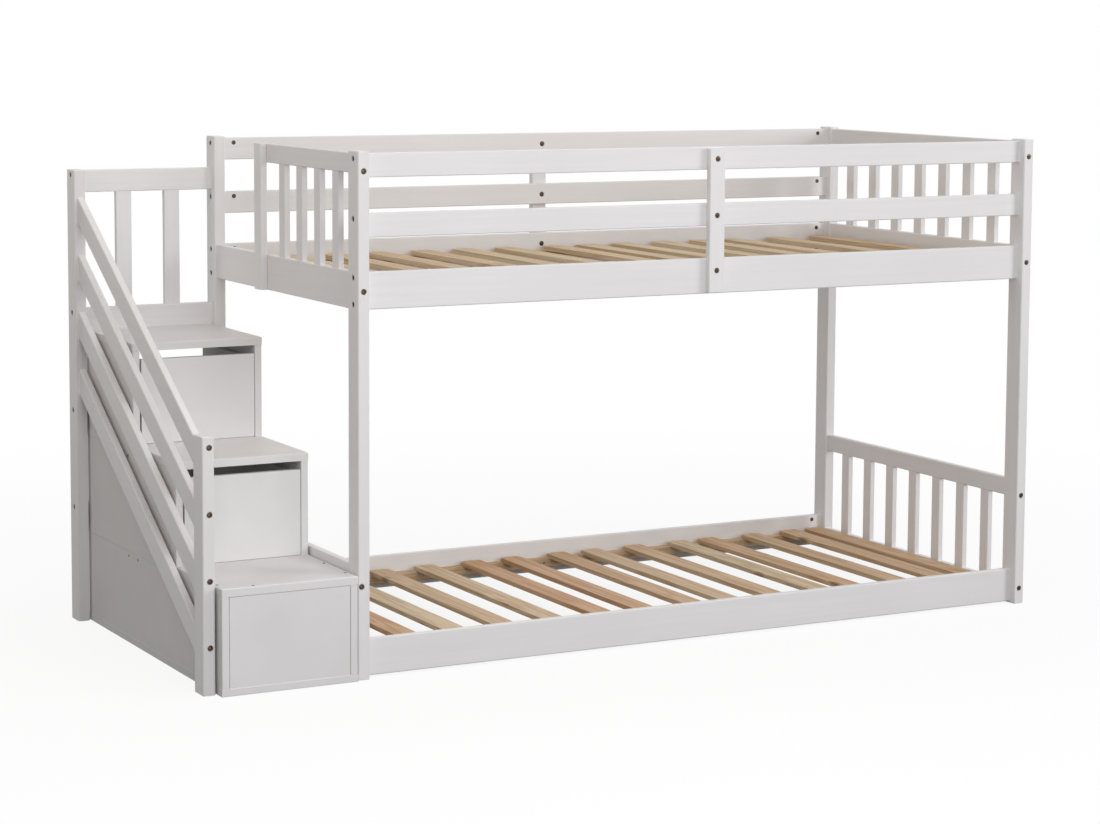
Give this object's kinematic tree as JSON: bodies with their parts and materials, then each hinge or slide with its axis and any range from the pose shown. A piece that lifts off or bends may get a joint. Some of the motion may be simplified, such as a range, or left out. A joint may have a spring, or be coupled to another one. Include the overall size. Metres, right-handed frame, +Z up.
{
  "type": "bunk bed",
  "caption": "Low bunk bed of white painted wood with bare pine slat decks, a guarded upper bunk and a step cabinet with drawers and a sloping handrail at one end",
  "frame": {"origin": "on the floor, at the middle of the bounding box of the bed and the staircase", "axes": "+X along the bed away from the staircase, +Y from the front to the back, +Z up"},
  "size_m": [2.379, 0.995, 1.27],
  "materials": {
    "painted_pine": "white satin paint on solid wood",
    "painted_panel": "white satin paint on board",
    "drawer_board": "white foil on board",
    "pine": "bare planed pine with knots"
  },
  "bodies": {
    "frame": {"back_guard_batten": "painted_pine", "back_guard_mid_rail": "painted_pine", "back_guard_top_rail": "painted_pine", "back_lower_side_rail": "painted_pine", "back_upper_side_rail": "painted_pine", "front_guard_batten": "painted_pine", "front_guard_mid_rail": "painted_pine", "front_guard_top_rail": "painted_pine", "front_lower_side_rail": "painted_pine", "front_upper_side_rail": "painted_pine", "left_guard_batten": "painted_pine", "left_guard_slats": "painted_pine", "left_guard_top_rail": "painted_pine", "left_lower_end_rail": "painted_pine", "left_upper_end_board": "painted_pine", "lower_deck_cleats": "pine", "lower_deck_slats": "pine", "post_back_left": "painted_pine", "post_back_right": "painted_pine", "post_front_left": "painted_pine", "post_front_right": "painted_pine", "right_lower_end_board": "painted_pine", "right_lower_end_slats": "painted_pine", "right_lower_end_top_rail": "painted_pine", "right_upper_end_board": "painted_pine", "right_upper_end_slats": "painted_pine", "right_upper_end_top_rail": "painted_pine", "stair_back_cross_rails": "painted_pine", "stair_back_post": "painted_pine", "stair_back_slats": "painted_pine", "stair_back_top_rail": "painted_pine", "stair_front_post": "painted_pine", "stair_handrail": "painted_pine", "stair_side_rails": "painted_pine", "step_1_base": "painted_panel", "step_1_front_panel": "painted_panel", "step_1_left_panel": "painted_panel", "step_1_right_panel": "painted_panel", "step_1_stretcher": "painted_panel", "step_1_tread": "painted_panel", "step_2_left_panel": "painted_panel", "step_2_right_panel": "painted_panel", "step_2_stretcher": "painted_panel", "step_2_tread": "painted_panel", "step_3_left_panel": "painted_panel", "step_3_right_panel": "painted_panel", "step_3_tread": "painted_panel", "upper_deck_cleats": "pine", "upper_deck_slats": "pine"},
    "lower_drawer": {"lower_drawer_back": "drawer_board", "lower_drawer_bottom": "drawer_board", "lower_drawer_front": "painted_panel", "lower_drawer_sides": "drawer_board"},
    "upper_drawer": {"upper_drawer_back": "drawer_board", "upper_drawer_bottom": "drawer_board", "upper_drawer_front": "painted_panel", "upper_drawer_sides": "drawer_board"}
  },
  "joints": [
    {"name": "lower_drawer_slide", "type": "slide", "parent": "frame", "child": "lower_drawer", "axis": [0, -1, 0], "range_m": [0, 0.3]},
    {"name": "upper_drawer_slide", "type": "slide", "parent": "frame", "child": "upper_drawer", "axis": [0, -1, 0], "range_m": [0, 0.22]}
  ]
}
